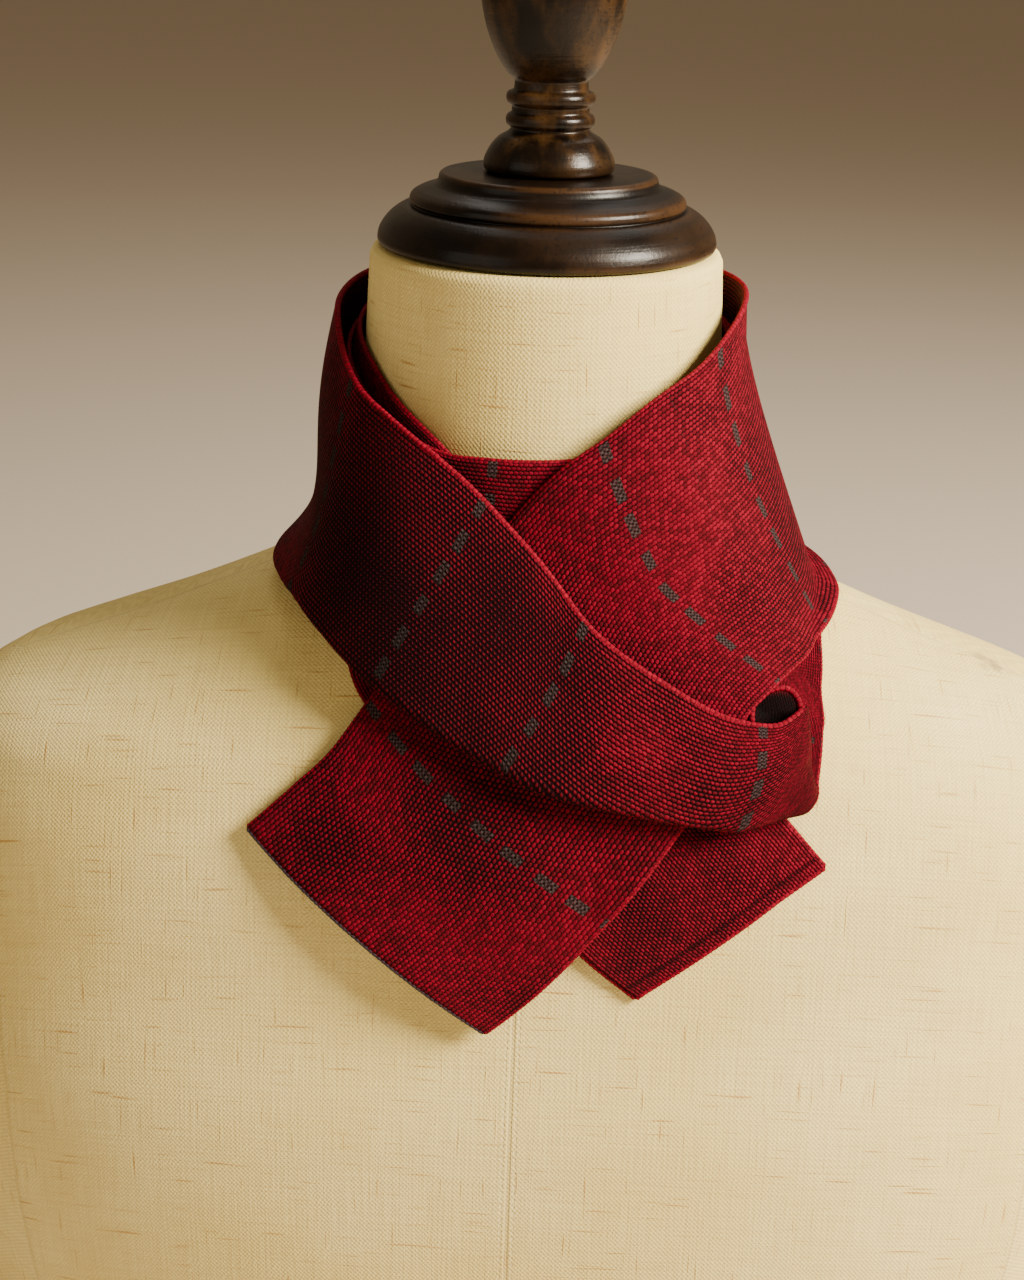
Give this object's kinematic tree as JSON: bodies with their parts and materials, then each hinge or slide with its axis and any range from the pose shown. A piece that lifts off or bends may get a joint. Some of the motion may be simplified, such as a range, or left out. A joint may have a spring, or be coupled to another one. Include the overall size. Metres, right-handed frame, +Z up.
{
  "type": "knit scarf wound on a dress form",
  "caption": "Narrow knitted scarf wound round the neck of a limbless dress form, one end drawn through a drooping front loop, both ends lying on the chest.",
  "frame": {"origin": "centre of the dress form's flat underside, on the neck's axis", "axes": "+Z up along the neck's axis, the form faces -Y, and its left shoulder is towards +X"},
  "size_m": [0.472, 0.2319, 0.5827],
  "materials": {
    "knit": "deep red and near-black birdseye knit, matt",
    "linen": "cream linen with tan slubs, matt",
    "dark_wood": "dark walnut, satin"
  },
  "bodies": {
    "root": {"scarf_under_tail": "knit", "scarf_first_turn": "knit", "scarf_loop_turn": "knit", "scarf_over_tail": "knit", "form_torso": "linen", "form_neck_cap": "dark_wood", "form_finial": "dark_wood"}
  },
  "joints": []
}
